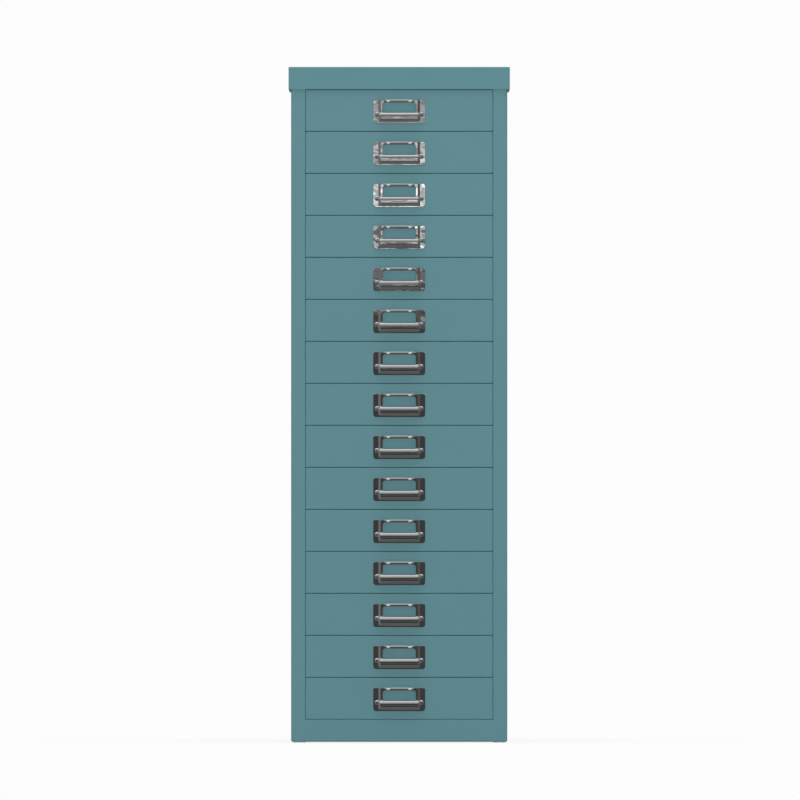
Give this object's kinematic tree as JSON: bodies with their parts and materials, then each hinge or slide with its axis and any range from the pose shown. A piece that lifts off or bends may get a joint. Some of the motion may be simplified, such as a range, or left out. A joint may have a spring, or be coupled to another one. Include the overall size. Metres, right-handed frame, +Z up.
{
  "type": "multi-drawer cabinet",
  "caption": "Tall narrow free-standing steel cabinet with a column of shallow sliding drawers, each with a chrome pull and card window.",
  "frame": {"origin": "on the floor, under the middle of the cabinet's bounding box", "axes": "+Z up; -Y the way the drawers open, so the fronts face -Y; +X to the right of someone facing the drawers"},
  "size_m": [0.2816, 0.3886, 0.86],
  "materials": {
    "teal_paint": "satin powder coat, fine orange peel",
    "pull_chrome": "bright plated",
    "runner_steel": "zinc plated",
    "rivet_steel": "zinc plated",
    "glide_nylon": "moulded"
  },
  "bodies": {
    "carcass": {"left_side_panel": "teal_paint", "right_side_panel": "teal_paint", "back_panel": "teal_paint", "base_panel": "teal_paint", "bottom_rail": "teal_paint", "top_rail": "teal_paint", "top_cap": "teal_paint", "left_front_upright": "teal_paint", "right_front_upright": "teal_paint", "left_rear_upright": "teal_paint", "right_rear_upright": "teal_paint", "left_runners": "runner_steel", "right_runners": "runner_steel", "runner_rivets": "rivet_steel", "corner_glides": "glide_nylon"},
    "drawer_01": {"drawer_01_tray": "teal_paint", "drawer_01_front": "teal_paint", "drawer_01_pull": "pull_chrome"},
    "drawer_02": {"drawer_02_tray": "teal_paint", "drawer_02_front": "teal_paint", "drawer_02_pull": "pull_chrome"},
    "drawer_03": {"drawer_03_tray": "teal_paint", "drawer_03_front": "teal_paint", "drawer_03_pull": "pull_chrome"},
    "drawer_04": {"drawer_04_tray": "teal_paint", "drawer_04_front": "teal_paint", "drawer_04_pull": "pull_chrome"},
    "drawer_05": {"drawer_05_tray": "teal_paint", "drawer_05_front": "teal_paint", "drawer_05_pull": "pull_chrome"},
    "drawer_06": {"drawer_06_tray": "teal_paint", "drawer_06_front": "teal_paint", "drawer_06_pull": "pull_chrome"},
    "drawer_07": {"drawer_07_tray": "teal_paint", "drawer_07_front": "teal_paint", "drawer_07_pull": "pull_chrome"},
    "drawer_08": {"drawer_08_tray": "teal_paint", "drawer_08_front": "teal_paint", "drawer_08_pull": "pull_chrome"},
    "drawer_09": {"drawer_09_tray": "teal_paint", "drawer_09_front": "teal_paint", "drawer_09_pull": "pull_chrome"},
    "drawer_10": {"drawer_10_tray": "teal_paint", "drawer_10_front": "teal_paint", "drawer_10_pull": "pull_chrome"},
    "drawer_11": {"drawer_11_tray": "teal_paint", "drawer_11_front": "teal_paint", "drawer_11_pull": "pull_chrome"},
    "drawer_12": {"drawer_12_tray": "teal_paint", "drawer_12_front": "teal_paint", "drawer_12_pull": "pull_chrome"},
    "drawer_13": {"drawer_13_tray": "teal_paint", "drawer_13_front": "teal_paint", "drawer_13_pull": "pull_chrome"},
    "drawer_14": {"drawer_14_tray": "teal_paint", "drawer_14_front": "teal_paint", "drawer_14_pull": "pull_chrome"},
    "drawer_15": {"drawer_15_tray": "teal_paint", "drawer_15_front": "teal_paint", "drawer_15_pull": "pull_chrome"}
  },
  "joints": [
    {"name": "drawer_01_slide", "type": "slide", "parent": "carcass", "child": "drawer_01", "axis": [0, -1, 0], "range_m": [0, 0.285]},
    {"name": "drawer_02_slide", "type": "slide", "parent": "carcass", "child": "drawer_02", "axis": [0, -1, 0], "range_m": [0, 0.285]},
    {"name": "drawer_03_slide", "type": "slide", "parent": "carcass", "child": "drawer_03", "axis": [0, -1, 0], "range_m": [0, 0.285]},
    {"name": "drawer_04_slide", "type": "slide", "parent": "carcass", "child": "drawer_04", "axis": [0, -1, 0], "range_m": [0, 0.285]},
    {"name": "drawer_05_slide", "type": "slide", "parent": "carcass", "child": "drawer_05", "axis": [0, -1, 0], "range_m": [0, 0.285]},
    {"name": "drawer_06_slide", "type": "slide", "parent": "carcass", "child": "drawer_06", "axis": [0, -1, 0], "range_m": [0, 0.285]},
    {"name": "drawer_07_slide", "type": "slide", "parent": "carcass", "child": "drawer_07", "axis": [0, -1, 0], "range_m": [0, 0.285]},
    {"name": "drawer_08_slide", "type": "slide", "parent": "carcass", "child": "drawer_08", "axis": [0, -1, 0], "range_m": [0, 0.285]},
    {"name": "drawer_09_slide", "type": "slide", "parent": "carcass", "child": "drawer_09", "axis": [0, -1, 0], "range_m": [0, 0.285]},
    {"name": "drawer_10_slide", "type": "slide", "parent": "carcass", "child": "drawer_10", "axis": [0, -1, 0], "range_m": [0, 0.285]},
    {"name": "drawer_11_slide", "type": "slide", "parent": "carcass", "child": "drawer_11", "axis": [0, -1, 0], "range_m": [0, 0.285]},
    {"name": "drawer_12_slide", "type": "slide", "parent": "carcass", "child": "drawer_12", "axis": [0, -1, 0], "range_m": [0, 0.285]},
    {"name": "drawer_13_slide", "type": "slide", "parent": "carcass", "child": "drawer_13", "axis": [0, -1, 0], "range_m": [0, 0.285]},
    {"name": "drawer_14_slide", "type": "slide", "parent": "carcass", "child": "drawer_14", "axis": [0, -1, 0], "range_m": [0, 0.285]},
    {"name": "drawer_15_slide", "type": "slide", "parent": "carcass", "child": "drawer_15", "axis": [0, -1, 0], "range_m": [0, 0.285]}
  ]
}
